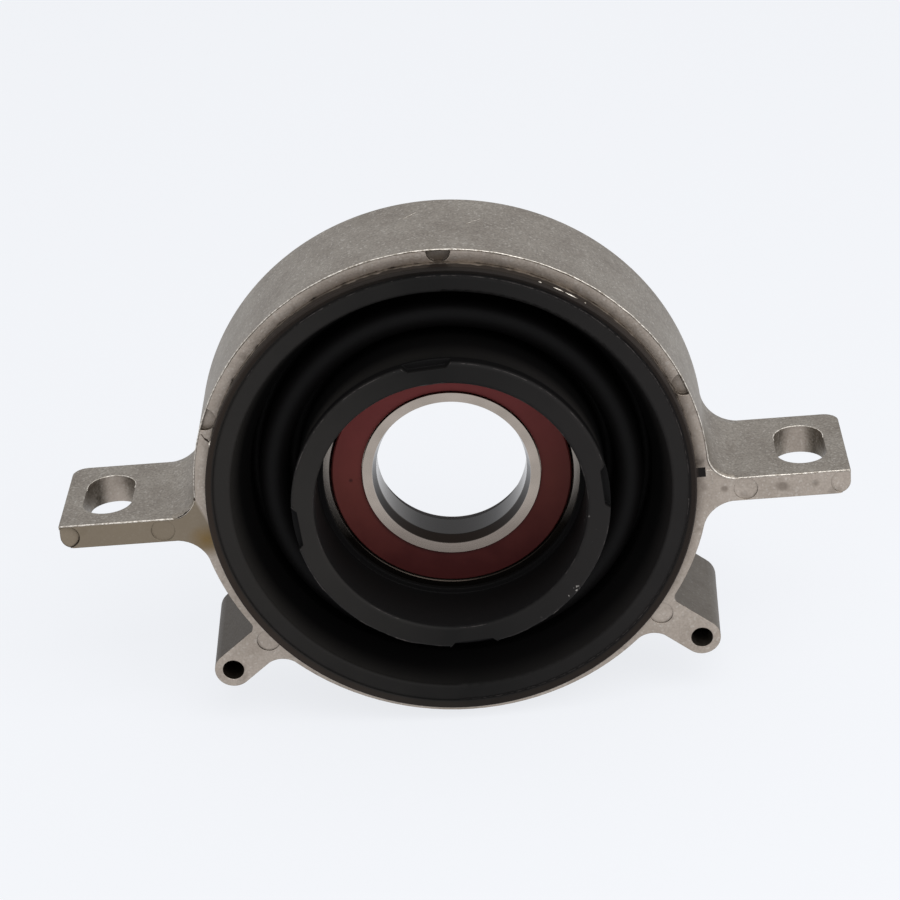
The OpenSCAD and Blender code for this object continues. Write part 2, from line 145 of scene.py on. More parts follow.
def seenDirectly(tree):  # 1 for what the camera, a mirror or a glass shows
    path = addNode(tree, "LightPath")
    either = addNode(tree, "Math", {"operation": "MAXIMUM"},
                     {0: path.outputs["Is Camera Ray"], 1: path.outputs["Is Glossy Ray"]})
    return addNode(tree, "Math", {"operation": "MAXIMUM"},
                   {0: either.outputs[0], 1: path.outputs["Is Transmission Ray"]}).outputs[0]


def makeStage():
    world = bpy.data.worlds.new("studio")
    world.use_nodes = True
    bpy.context.scene.world = world
    tree = world.node_tree
    back = tree.nodes["Background"]
    back.inputs["Color"].default_value = linear(stageSet["backdrop"])
    level = addNode(tree, "MapRange", {"To Min": stageSet["skyForObject"], "To Max": 1.0},
                    {"Value": seenDirectly(tree)})
    tree.links.new(level.outputs[0], back.inputs["Strength"])

    half = stageSet["floorSize"] / 2
    low = cadBox[0][2] - stageSet["dropMm"] * mm
    mesh = bpy.data.meshes.new("floor")
    mesh.from_pydata([(-half, -half, low), (half, -half, low), (half, half, low), (-half, half, low)],
                     [], [(0, 1, 2, 3)])
    floor = bpy.data.objects.new("floor", mesh)
    bpy.context.scene.collection.objects.link(floor)
    material, tree, shader = newMaterial("matt white paper sweep")
    shader.inputs["Base Color"].default_value = linear(stageSet["paper"])
    shader.inputs["Roughness"].default_value = stageSet["paperRough"]
    shader.inputs["Specular IOR Level"].default_value = stageSet["paperShine"]
    glow = addNode(tree, "Emission", {"Color": linear(stageSet["backdrop"]), "Strength": 1.0})
    share = addNode(tree, "MapRange", {"To Min": 0.0, "To Max": stageSet["floorGlow"]},
                    {"Value": seenDirectly(tree)})
    mixed = addNode(tree, "MixShader", {},
                    {0: share.outputs[0], 1: shader.outputs[0], 2: glow.outputs[0]})
    tree.links.new(mixed.outputs[0], tree.nodes["Material Output"].inputs["Surface"])
    mesh.materials.append(material)
    makeLamp("keySoftbox", stageSet["key"])
    makeLamp("fillSoftbox", stageSet["fill"])


makeCamera()
makeStage()
bpy.context.scene.view_settings.view_transform = "Standard"
print("camera and stage made")

castSet = {
    "wall": "#999288", "wallDeep": "#888076", "front": "#b7aca1", "frontDeep": "#a59a8f",
    "grainDeep": "#d2d0ce", "grainPale": "#ffffff", "sparkle": "#dedad2", "creviceShade": "#4e463e",
    # the smudge colour also paints shade along the rim's inside
    "grimeAndShade": "#64594f", "flankShade": "#4b443c", "earStain": "#7d715f", "smearAndMarkShade": "#17120f", "stain": "#7d6438",
    "grainMm": 0.5,  # finer in truth, drawn at two pixels
    "mottleMm": 8.0, "crystalMm": 0.45, "lumpMm": 3.5, "smudgeMm": 4.0, "edgeMm": 0.25, "creviceMm": 2.5,
    "facing": (-0.75, -0.97), "frontMm": (-12.0, -13.0),  # what counts as a front face
    "frontGrain": 0.45, "sparkleMost": 0.32, "creviceShadeMost": 0.6, "smudgeMost": 0.35,
    "dabs": [((75.4, -14.5, -5.5), 1.7), ((83.2, -14.5, -5.4), 1.1), ((62.3, -14.5, -5.1), 1.0)],  # grease
    "dabEdgeMm": (1.0, 0.2), "dabRaggedMm": 2.0, "dabMost": 0.55,
    "lowMm": (-20.0, -34.0),  # painted shade darkens the flanks below the ears
    "leftMm": (60.0, -60.0), "rightShadeShare": 0.6,  # painted shade, lighter on the right where more light falls
    "earLine": (1, 0, 0.38), "earLineMm": (-57.9, -58.6),  # the left ear is stained beyond this slanting line
    "earLowMm": (-13.5, -10.5), "earStainMost": 0.85,
    "rimInMm": (58.4, 56.4), "rimLeftMm": (-45.0, -20.0), "rimShadeMost": 0.5,  # painted shade along the rim's inside, more towards the right
    "tearMm": 6.0, "tearReachMm": 2.6, "smearMm": (57.5, 57.0),  # black rubber rubbed on the rim
    "topMarkAt": (2.05, -13.3, 58.6), "topMarkMm": (3.5, 3.2),  # painted shade darkens the pin mark at the top
    "topMarkSunkMm": -14.0, "topMarkMost": 0.45,
    "stainAt": (-57.4, -14.5, -8.6), "stainMm": (6.0, 2.2), "stainRaggedMm": 3.0, "stainMost": 0.75,
    "rough": (0.4, 0.62), "bump": 0.5, "lumpHighMm": 0.12, "grainHighMm": 0.05,
}


def makeCastAluminium():
    # die-cast aluminium tumbled in grit: dull grey-brown, sparkling grain, smoother and warmer front faces, and
    # painted shade in crevices, on the low flanks, along the rim's inside and in the top pin mark
    s = castSet
    material, tree, shader = newMaterial("die-cast aluminium, tumbled")
    coord = addNode(tree, "TexCoord")
    where = coord.outputs["Object"]
    facing = addNode(tree, "SeparateXYZ", {}, {0: coord.outputs["Normal"]})
    front = addNode(tree, "MapRange", {"From Min": s["facing"][0], "From Max": s["facing"][1]},
                    {"Value": facing.outputs[1]})

    mottle = addNode(tree, "TexNoise",
                     {"Scale": scaleFor(s["mottleMm"]), "Detail": 4.0, "Roughness": 0.6}, {"Vector": where})
    wall = addNode(tree, "ValToRGB", {"ramp": [(0.3, s["wallDeep"]), (0.65, s["wall"])]},
                   {0: mottle.outputs["Fac"]})
    skin = addNode(tree, "ValToRGB", {"ramp": [(0.3, s["frontDeep"]), (0.6, s["front"])]},
                   {0: mottle.outputs["Fac"]})
    faced = addNode(tree, "Mix", {"data_type": "RGBA"},
                    {0: front.outputs[0], 6: wall.outputs[0], 7: skin.outputs[0]})
    grain = addNode(tree, "TexNoise", {"Scale": scaleFor(s["grainMm"]), "Detail": 2.0},
                    {"Vector": where})
    salt = addNode(tree, "ValToRGB", {"ramp": [(0.3, s["grainDeep"]), (0.6, s["grainPale"])]},
                   {0: grain.outputs["Fac"]})
    calm = addNode(tree, "MapRange", {"To Min": 1.0, "To Max": s["frontGrain"]},
                   {"Value": front.outputs[0]})
    grained = addNode(tree, "Mix", {"data_type": "RGBA", "blend_type": "MULTIPLY"},
                      {0: calm.outputs[0], 6: faced.outputs[2], 7: salt.outputs[0]})
    crystal = addNode(tree, "TexVoronoi", {"Scale": scaleFor(s["crystalMm"])}, {"Vector": where})
    bright = addNode(tree, "MapRange",
                     {"From Min": 0.72, "From Max": 1.0, "To Max": s["sparkleMost"]},
                     {"Value": crystal.outputs["Color"]})
    sparkled = addNode(tree, "Mix", {"data_type": "RGBA", 7: linear(s["sparkle"])},
                       {0: bright.outputs[0], 6: grained.outputs[2]})

    # painted shade: the colour darkens where ambient occlusion finds crevices and recesses
    crevice = addNode(tree, "AmbientOcclusion", {"samples": 4, "Distance": s["creviceMm"] * mm})
    nook = addNode(tree, "MapRange", {"From Min": 0.75, "From Max": 0.3, "To Max": s["creviceShadeMost"]},
                   {"Value": crevice.outputs["AO"]})
    creviceShaded = addNode(tree, "Mix", {"data_type": "RGBA", 7: linear(s["creviceShade"])},
                    {0: nook.outputs[0], 6: sparkled.outputs[2]})

    smudge = addNode(tree, "TexNoise", {"Scale": scaleFor(s["smudgeMm"]), "Detail": 2.0},
                     {"Vector": where})
    touched = addNode(tree, "MapRange",
                      {"From Min": 0.6, "From Max": 0.72, "To Max": s["smudgeMost"]},
                      {"Value": smudge.outputs["Fac"]})
    for place, size in s["dabs"]:
        away = addNode(tree, "VectorMath", {"operation": "DISTANCE", 1: placeMm(place)}, {0: where})
        uneven = addNode(tree, "Math", {"operation": "MULTIPLY_ADD", 1: s["dabRaggedMm"] * mm},
                         {0: smudge.outputs["Fac"], 2: away.outputs["Value"]})
        dab = addNode(tree, "MapRange",
                      {**spanMm([size + edge for edge in s["dabEdgeMm"]]), "To Max": s["dabMost"]},
                      {"Value": uneven.outputs[0]})
        touched = addNode(tree, "Math", {"operation": "MAXIMUM"},
                          {0: touched.outputs[0], 1: dab.outputs[0]})
    smudged = addNode(tree, "Mix", {"data_type": "RGBA", 7: linear(s["grimeAndShade"])},
                      {0: touched.outputs[0], 6: creviceShaded.outputs[2]})

    split = addNode(tree, "SeparateXYZ", {}, {0: where})
    atFront = addNode(tree, "MapRange", spanMm(s["frontMm"]), {"Value": split.outputs[1]})
    face = addNode(tree, "Math", {"operation": "MULTIPLY"},
                   {0: front.outputs[0], 1: atFront.outputs[0]})
    # painted shade: faces that don't look to the front darken below the ears, more on the left
    low = addNode(tree, "MapRange", spanMm(s["lowMm"]), {"Value": split.outputs[2]})
    leftMore = addNode(tree, "MapRange",
                       {**spanMm(s["leftMm"]), "To Min": s["rightShadeShare"], "To Max": 1.0},
                       {"Value": split.outputs[0]})
    notFront = addNode(tree, "Math", {"operation": "SUBTRACT", 0: 1.0}, {1: front.outputs[0]})
    flank = addNode(tree, "Math", {"operation": "MULTIPLY"},
                    {0: low.outputs[0], 1: notFront.outputs[0]})
    flankShadeMask = addNode(tree, "Math", {"operation": "MULTIPLY"},
                    {0: flank.outputs[0], 1: leftMore.outputs[0]})
    flankShaded = addNode(tree, "Mix", {"data_type": "RGBA", 7: linear(s["flankShade"])},
                     {0: flankShadeMask.outputs[0], 6: smudged.outputs[2]})

    along = addNode(tree, "VectorMath", {"operation": "DOT_PRODUCT", 1: s["earLine"]}, {0: where})
    beyond = addNode(tree, "MapRange", {**spanMm(s["earLineMm"]), "To Max": s["earStainMost"]},
                     {"Value": along.outputs["Value"]})
    onEar = addNode(tree, "MapRange", spanMm(s["earLowMm"]), {"Value": split.outputs[2]})
    earFace = addNode(tree, "Math", {"operation": "MULTIPLY"},
                      {0: onEar.outputs[0], 1: face.outputs[0]})
    tanned = addNode(tree, "Math", {"operation": "MULTIPLY"},
                     {0: beyond.outputs[0], 1: earFace.outputs[0]})
    eared = addNode(tree, "Mix", {"data_type": "RGBA", 7: linear(s["earStain"])},
                    {0: tanned.outputs[0], 6: flankShaded.outputs[2]})

    flat = addNode(tree, "VectorMath", {"operation": "MULTIPLY", 1: (1, 0, 1)}, {0: where})
    radius = addNode(tree, "VectorMath", {"operation": "LENGTH"}, {0: flat.outputs[0]}).outputs["Value"]
    # painted shade: the rim's front face darkens towards the sleeve, more on the right
    inward = addNode(tree, "MapRange", {**spanMm(s["rimInMm"]), "To Max": s["rimShadeMost"]},
                     {"Value": radius})
    rightMore = addNode(tree, "MapRange", spanMm(s["rimLeftMm"]), {"Value": split.outputs[0]})
    upper = addNode(tree, "Math", {"operation": "MULTIPLY"},
                    {0: inward.outputs[0], 1: rightMore.outputs[0]})
    rimShade = addNode(tree, "Math", {"operation": "MULTIPLY"},
                       {0: upper.outputs[0], 1: face.outputs[0]})
    shaded = addNode(tree, "Mix", {"data_type": "RGBA", 7: linear(s["grimeAndShade"])},
                     {0: rimShade.outputs[0], 6: eared.outputs[2]})
    tear = addNode(tree, "TexNoise",
                   {"Scale": scaleFor(s["tearMm"]), "Detail": 6.0, "Roughness": 0.7}, {"Vector": where})
    waved = addNode(tree, "Math", {"operation": "MULTIPLY_ADD", 1: s["tearReachMm"] * mm},
                    {0: tear.outputs["Fac"], 2: radius})
    rubbed = addNode(tree, "MapRange", spanMm(s["smearMm"]), {"Value": waved.outputs[0]})
    # painted shade: the smear colour also darkens the inside of the top pin mark
    toMark = addNode(tree, "VectorMath", {"operation": "DISTANCE", 1: placeMm(s["topMarkAt"])},
                     {0: where})
    sunk = addNode(tree, "MapRange", {**spanMm(s["topMarkMm"]), "To Max": s["topMarkMost"]},
                   {"Value": toMark.outputs["Value"]})
    behind = addNode(tree, "Math", {"operation": "GREATER_THAN", 1: s["topMarkSunkMm"] * mm},
                     {0: split.outputs[1]})
    pinned = addNode(tree, "Math", {"operation": "MULTIPLY"},
                     {0: sunk.outputs[0], 1: behind.outputs[0]})
    black = addNode(tree, "Math", {"operation": "MAXIMUM"},
                    {0: rubbed.outputs[0], 1: pinned.outputs[0]})
    onRim = addNode(tree, "Math", {"operation": "MULTIPLY"},
                    {0: black.outputs[0], 1: face.outputs[0]})
    smearedAndShaded = addNode(tree, "Mix", {"data_type": "RGBA", 7: linear(s["smearAndMarkShade"])},
                      {0: onRim.outputs[0], 6: shaded.outputs[2]})

    far = addNode(tree, "VectorMath", {"operation": "DISTANCE", 1: placeMm(s["stainAt"])}, {0: where})
    ragged = addNode(tree, "Math", {"operation": "MULTIPLY_ADD", 1: s["stainRaggedMm"] * mm},
                     {0: mottle.outputs["Fac"], 2: far.outputs["Value"]})
    seep = addNode(tree, "MapRange", {**spanMm(s["stainMm"]), "To Max": s["stainMost"]},
                   {"Value": ragged.outputs[0]})
    stained = addNode(tree, "Mix", {"data_type": "RGBA", 7: linear(s["stain"])},
                      {0: seep.outputs[0], 6: smearedAndShaded.outputs[2]})
    tree.links.new(stained.outputs[2], shader.inputs["Base Color"])
    shader.inputs["Metallic"].default_value = 1.0
    rough = addNode(tree, "MapRange", {"To Min": s["rough"][0], "To Max": s["rough"][1]},
                    {"Value": grain.outputs["Fac"]})
    tree.links.new(rough.outputs[0], shader.inputs["Roughness"])
    edge = addNode(tree, "Bevel", {"samples": 4, "Radius": s["edgeMm"] * mm})
    lump = addNode(tree, "TexNoise", {"Scale": scaleFor(s["lumpMm"]), "Detail": 3.0},
                   {"Vector": where})
    soft = addNode(tree, "Bump", {"Strength": s["bump"], "Distance": s["lumpHighMm"] * mm},
                   {"Height": lump.outputs["Fac"], "Normal": edge.outputs[0]})
    fine = addNode(tree, "Bump", {"Strength": s["bump"], "Distance": s["grainHighMm"] * mm},
                   {"Height": grain.outputs["Fac"], "Normal": soft.outputs[0]})
    tree.links.new(fine.outputs[0], shader.inputs["Normal"])
    return material


tornSet = {
    "die-cast aluminium, torn flash": {"pale": "#e2dbd1", "deep": "#a0978b", "grainMm": 0.6},
    # painted shadow: this dark metal draws thin shadow lines
    "die-cast aluminium, painted shadow line": {"pale": "#4a4038", "deep": "#1d1713", "grainMm": 0.8},
    "drawn steel tube, bare edge": {"pale": "#e2dbd1", "deep": "#a0978b", "grainMm": 0.6},
}
tornRough = (0.3, 0.6)


def makeTornMetal(name):
    # torn, knocked or scraped metal: bright and crumpled, or dark where it paints shadow lines
    look = tornSet[name]
    material, tree, shader = newMaterial(name)
    where = addNode(tree, "TexCoord").outputs["Object"]
    grain = addNode(tree, "TexNoise", {"Scale": scaleFor(look["grainMm"]), "Detail": 3.0},
                    {"Vector": where})
    base = addNode(tree, "ValToRGB", {"ramp": [(0.35, look["deep"]), (0.6, look["pale"])]},
                   {0: grain.outputs["Fac"]})
    tree.links.new(base.outputs[0], shader.inputs["Base Color"])
    shader.inputs["Metallic"].default_value = 1.0
    rough = addNode(tree, "MapRange", {"To Min": tornRough[0], "To Max": tornRough[1]},
                    {"Value": grain.outputs["Fac"]})
    tree.links.new(rough.outputs[0], shader.inputs["Roughness"])
    return material


rubberSet = {
    # painted light: left and right are the lit sides of the lips, middle their top and bottom; the flare colours
    # likewise
    "left": "#252321", "middle": "#131211", "right": "#1f1d1c", "deep": "#080707", "dust": "#b9b4ad",
    "flare": "#181411", "flareLeft": "#2f2823", "flareRight": "#2d2723",
    "skinMm": 0.35, "bloomMm": 9.0, "speckMm": 0.45, "edgeMm": 0.35,
    "sides": (-0.13, 0.87), "patchy": 0.26,  # painted light: the lips lighter at the left and right than at the top and bottom, and how far the bloom stirs it
    "lipsEndMm": (-17.0, -12.5),  # the lips' dusty faces end between these distances; painted shade darkens the rubber behind them
    "tubeMm": (31.1, 30.9),  # painted shade darkens the rubber inside the sleeve's mouth, within this radius
    "flareMm": (54.6, 54.9),  # the brown edge over the outer sleeve starts at this radius
    "tabMm": (56.2, 56.6), "tabMost": 0.8,  # and the moulding tab, drawn in the deep colour, at this one
    "notchMm": (-24.3, -23.6), "noseMm": (-19.5, -20.5),  # the inner lip's nose takes the deep colour between these distances
    "dustAt": [(31.4, -24.6, -6.0), (26.5, -24.6, -22.5)], "dustMm": (7.0, 1.0), "dustMore": 0.12,
    "speckFrom": (0.985, 1.02), "speckMost": 0.45,
    "rough": 0.62, "ior": 1.52, "shine": 0.11, "bump": 0.35, "skinHighMm": 0.03,
}


def makeRubber():
    # moulded natural rubber: near black and silky, with grey bloom and dust on the lips' faces, painted light that
    # makes the lips lighter at the left and right, and painted shade in the recesses
    s = rubberSet
    material, tree, shader = newMaterial("natural rubber, moulded")
    where = addNode(tree, "TexCoord").outputs["Object"]
    split = addNode(tree, "SeparateXYZ", {}, {0: where})
    bloom = addNode(tree, "TexNoise", {"Scale": scaleFor(s["bloomMm"]), "Detail": 5.0},
                    {"Vector": where})
    flat = addNode(tree, "VectorMath", {"operation": "MULTIPLY", 1: (1, 0, 1)}, {0: where})
    radius = addNode(tree, "VectorMath", {"operation": "LENGTH"}, {0: flat.outputs[0]}).outputs["Value"]
    # painted light: lighter towards the left and right, stirred by the bloom
    aside = addNode(tree, "Math", {"operation": "DIVIDE"}, {0: split.outputs[0], 1: radius})
    centred = addNode(tree, "MapRange",
                      {"From Min": -1.0, "From Max": 1.0, "To Min": s["sides"][0], "To Max": s["sides"][1]},
                      {"Value": aside.outputs[0]})
    sides = addNode(tree, "Math", {"operation": "MULTIPLY_ADD", 1: s["patchy"]},
                    {0: bloom.outputs["Fac"], 2: centred.outputs[0]})
    pale = addNode(tree, "ValToRGB",
                   {"ramp": [(0.0, s["left"]), (0.5, s["middle"]), (1.0, s["right"])]}, {0: sides.outputs[0]})
    brown = addNode(tree, "ValToRGB",
                    {"ramp": [(0.0, s["flareLeft"]), (0.5, s["flare"]), (1.0, s["flareRight"])]},
                    {0: sides.outputs[0]})
    onFlare = addNode(tree, "MapRange", spanMm(s["flareMm"]), {"Value": radius})
    lips = addNode(tree, "Mix", {"data_type": "RGBA"},
                   {0: onFlare.outputs[0], 6: pale.outputs[0], 7: brown.outputs[0]})
    # painted shade: the deep colour fills the rubber behind the lips and inside the sleeve's mouth; the nose and
    # tab get it too
    back = addNode(tree, "MapRange", spanMm(s["lipsEndMm"]), {"Value": split.outputs[1]})
    tube = addNode(tree, "MapRange", spanMm(s["tubeMm"]), {"Value": radius})
    behind = addNode(tree, "MapRange", spanMm(s["notchMm"]), {"Value": split.outputs[1]})
    ahead = addNode(tree, "MapRange", spanMm(s["noseMm"]), {"Value": split.outputs[1]})
    nose = addNode(tree, "Math", {"operation": "MULTIPLY"},
                   {0: behind.outputs[0], 1: ahead.outputs[0]})
    recessShade = addNode(tree, "Math", {"operation": "MAXIMUM"},
                     {0: back.outputs[0], 1: tube.outputs[0]})
    tab = addNode(tree, "MapRange", {**spanMm(s["tabMm"]), "To Max": s["tabMost"]},
                  {"Value": radius})
    inside = addNode(tree, "Math", {"operation": "MAXIMUM"},
                     {0: recessShade.outputs[0], 1: nose.outputs[0]})
    deepMask = addNode(tree, "Math", {"operation": "MAXIMUM"},
                    {0: inside.outputs[0], 1: tab.outputs[0]})
    base = addNode(tree, "Mix", {"data_type": "RGBA", 7: linear(s["deep"])},
                   {0: deepMask.outputs[0], 6: lips.outputs[2]})

    speck = addNode(tree, "TexVoronoi", {"Scale": scaleFor(s["speckMm"])}, {"Vector": where})
    near = None
    for place in s["dustAt"]:
        far = addNode(tree, "VectorMath", {"operation": "DISTANCE", 1: placeMm(place)}, {0: where})
        here = addNode(tree, "MapRange", {**spanMm(s["dustMm"]), "To Max": s["dustMore"]},
                       {"Value": far.outputs["Value"]}).outputs[0]
        near = here if near is None else addNode(tree, "Math", {"operation": "MAXIMUM"},
                                                 {0: near, 1: here}).outputs[0]
    chance = addNode(tree, "Math", {"operation": "ADD"}, {0: speck.outputs["Color"], 1: near})
    few = addNode(tree, "MapRange",
                  {"From Min": s["speckFrom"][0], "From Max": s["speckFrom"][1], "To Max": s["speckMost"]},
                  {"Value": chance.outputs[0]})
    dusted = addNode(tree, "Mix", {"data_type": "RGBA", 7: linear(s["dust"])},
                     {0: few.outputs[0], 6: base.outputs[2]})
    tree.links.new(dusted.outputs[2], shader.inputs["Base Color"])
    shader.inputs["Roughness"].default_value = s["rough"]
    shader.inputs["IOR"].default_value = s["ior"]
    shader.inputs["Specular IOR Level"].default_value = s["shine"]
    skin = addNode(tree, "TexNoise", {"Scale": scaleFor(s["skinMm"]), "Detail": 2.0},
                   {"Vector": where})
    edge = addNode(tree, "Bevel", {"samples": 4, "Radius": s["edgeMm"] * mm})
    bump = addNode(tree, "Bump", {"Strength": s["bump"], "Distance": s["skinHighMm"] * mm},
                   {"Height": skin.outputs["Fac"], "Normal": edge.outputs[0]})
    tree.links.new(bump.outputs[0], shader.inputs["Normal"])
    return material


finSet = {"pale": "#433f3d", "deep": "#232020", "grainMm": 1.2, "rough": 0.7, "shine": 0.15}


def makeRubberFin():
    # thin flash of rubber along the mould's edges, chalky where it is torn
    material, tree, shader = newMaterial("natural rubber, torn flash")
    where = addNode(tree, "TexCoord").outputs["Object"]
    grain = addNode(tree, "TexNoise", {"Scale": scaleFor(finSet["grainMm"]), "Detail": 3.0},
                    {"Vector": where})
    base = addNode(tree, "ValToRGB", {"ramp": [(0.4, finSet["deep"]), (0.65, finSet["pale"])]},
                   {0: grain.outputs["Fac"]})
    tree.links.new(base.outputs[0], shader.inputs["Base Color"])
    shader.inputs["Roughness"].default_value = finSet["rough"]
    shader.inputs["Specular IOR Level"].default_value = finSet["shine"]
    return material


raceSet = {
    "inner": ("#a1978d", "#b0a59b", "#8a8078"), "outer": ("#8b847d", "#918a83", "#2f2a26"),  # dull, bright, and painted shade below
    "seat": "#58534e", "seatLowShade": "#1d1916", "lead": "#1e1814",
    "lineMm": 0.25, "mottleMm": 6.0,
    "lowMm": (-6.0, -15.0),  # painted shade darkens the rings' lower part between these heights
    "leadMm": (17.54, 17.6), "faceMm": (18.28, 18.36),  # radii where the lead-in and the face start
    "rearLeadMm": (3.55, 3.65), "shine": 0.1, "cakedRough": 0.75,  # old grease in the rear lead-in
    "rough": (0.2, 0.34), "seatRough": 0.15, "bump": 0.12, "lineHighMm": 0.01,
}


def makeRaceSteel(name, ring, hasSeat):
    # hardened bearing steel, ground: pale warm faces with fine circles, an oil-dark lead-in and a polished seat,
    # painted shade towards the bottom
    s = raceSet
    dull, bright, belowShade = s[ring]
    material, tree, shader = newMaterial(name)
    where = addNode(tree, "TexCoord").outputs["Object"]
    flat = addNode(tree, "VectorMath", {"operation": "MULTIPLY", 1: (1, 0, 1)}, {0: where})
    radius = addNode(tree, "VectorMath", {"operation": "LENGTH"}, {0: flat.outputs[0]}).outputs["Value"]
    split = addNode(tree, "SeparateXYZ", {}, {0: where})
    ringAt = addNode(tree, "CombineXYZ", {}, {0: radius, 1: split.outputs[1]})
    lines = addNode(tree, "TexNoise", {"Scale": scaleFor(s["lineMm"]), "Detail": 1.0},
                    {"Vector": ringAt.outputs[0]})
    mottle = addNode(tree, "TexNoise", {"Scale": scaleFor(s["mottleMm"]), "Detail": 3.0},
                     {"Vector": where})
    face = addNode(tree, "ValToRGB", {"ramp": [(0.3, dull), (0.7, bright)]},
                   {0: mottle.outputs["Fac"]}).outputs[0]
    low = addNode(tree, "MapRange", spanMm(s["lowMm"]), {"Value": split.outputs[2]})
    face = addNode(tree, "Mix", {"data_type": "RGBA", 7: linear(belowShade)},
                   {0: low.outputs[0], 6: face}).outputs[2]
    rough = addNode(tree, "MapRange", {"To Min": s["rough"][0], "To Max": s["rough"][1]},
                    {"Value": lines.outputs["Fac"]})
    shader.inputs["Metallic"].default_value = 1.0
    if hasSeat:
        # painted shade, and a painted dark reflection, at the bottom of the seat
        seat = addNode(tree, "Mix",
                       {"data_type": "RGBA", 6: linear(s["seat"]), 7: linear(s["seatLowShade"])}, {0: low.outputs[0]})
        isLead = addNode(tree, "MapRange", spanMm(s["leadMm"]), {"Value": radius})
        mouth = addNode(tree, "Mix", {"data_type": "RGBA", 7: linear(s["lead"])},
                        {0: isLead.outputs[0], 6: seat.outputs[2]})
        isFace = addNode(tree, "MapRange", spanMm(s["faceMm"]), {"Value": radius})
        face = addNode(tree, "Mix", {"data_type": "RGBA"},
                       {0: isFace.outputs[0], 6: mouth.outputs[2], 7: face}).outputs[2]
        rough = addNode(tree, "Mix", {2: s["seatRough"]}, {0: isFace.outputs[0], 3: rough.outputs[0]})
        rear = addNode(tree, "MapRange", spanMm(s["rearLeadMm"]), {"Value": split.outputs[1]})
        caked = addNode(tree, "Math", {"operation": "SUBTRACT", "use_clamp": True},
                        {0: rear.outputs[0], 1: isFace.outputs[0]})
        metal = addNode(tree, "Math", {"operation": "SUBTRACT", 0: 1.0}, {1: caked.outputs[0]})
        rough = addNode(tree, "Mix", {3: s["cakedRough"]}, {0: caked.outputs[0], 2: rough.outputs[0]})
        tree.links.new(metal.outputs[0], shader.inputs["Metallic"])
        shader.inputs["Specular IOR Level"].default_value = s["shine"]
    tree.links.new(face, shader.inputs["Base Color"])
    tree.links.new(rough.outputs[0], shader.inputs["Roughness"])
    bump = addNode(tree, "Bump", {"Strength": s["bump"], "Distance": s["lineHighMm"] * mm},
                   {"Height": lines.outputs["Fac"]})
    tree.links.new(bump.outputs[0], shader.inputs["Normal"])
    return material


sealSet = {
    # painted light and shade: top is the lit colour, the low shade the colour at the bottom
    "top": "#783736", "middle": "#5c2c27", "lowShade": "#35100f", "nick": "#120a09",
    "mottleMm": 5.0, "skinMm": 0.3, "reachMm": (-26.0, 26.0),  # lowest and highest point of the seal
    "heights": (-0.1, 0.9), "patchy": 0.2,
    "nickAt": (-23.35, -7.05, 0.0), "nickMm": (0.7, 0.2),
    "rough": 0.5, "ior": 1.5, "shine": 0.09, "bump": 0.2, "skinHighMm": 0.02,
}


def makeSealRubber():
    # nitrile rubber pressed on a steel disc: satin red-brown with painted light, lighter at the top and shaded
    # darker below, with one small nick
    s = sealSet
    material, tree, shader = newMaterial("nitrile rubber, red-brown, moulded")
    where = addNode(tree, "TexCoord").outputs["Object"]
    mottle = addNode(tree, "TexNoise", {"Scale": scaleFor(s["mottleMm"]), "Detail": 4.0},
                     {"Vector": where})
    split = addNode(tree, "SeparateXYZ", {}, {0: where})
    # painted light and shade: the colour runs from dark at the bottom to light at the top
    height = addNode(tree, "MapRange",
                     {**spanMm(s["reachMm"]), "To Min": s["heights"][0], "To Max": s["heights"][1]},
                     {"Value": split.outputs[2]})
    patchy = addNode(tree, "Math", {"operation": "MULTIPLY_ADD", 1: s["patchy"]},
                     {0: mottle.outputs["Fac"], 2: height.outputs[0]})
    base = addNode(tree, "ValToRGB",
                   {"ramp": [(0.05, s["lowShade"]), (0.5, s["middle"]), (0.95, s["top"])]}, {0: patchy.outputs[0]})
    far = addNode(tree, "VectorMath", {"operation": "DISTANCE", 1: placeMm(s["nickAt"])}, {0: where})
    hit = addNode(tree, "MapRange", spanMm(s["nickMm"]), {"Value": far.outputs["Value"]})
    nicked = addNode(tree, "Mix", {"data_type": "RGBA", 7: linear(s["nick"])},
                     {0: hit.outputs[0], 6: base.outputs[0]})
    tree.links.new(nicked.outputs[2], shader.inputs["Base Color"])
    shader.inputs["Roughness"].default_value = s["rough"]
    shader.inputs["IOR"].default_value = s["ior"]
    shader.inputs["Specular IOR Level"].default_value = s["shine"]
    skin = addNode(tree, "TexNoise", {"Scale": scaleFor(s["skinMm"])}, {"Vector": where})
    bump = addNode(tree, "Bump", {"Strength": s["bump"], "Distance": s["skinHighMm"] * mm},
                   {"Height": skin.outputs["Fac"]})
    tree.links.new(bump.outputs[0], shader.inputs["Normal"])
    return material


tubeSet = {
    "pale": "#a39b91", "deep": "#6f675e", "film": "#1a1410", "streakMm": 2.0,
    "filmMm": (-14.1, -14.6), "raggedMm": 2.0, "rough": (0.28, 0.55), "shine": 0.2,
}


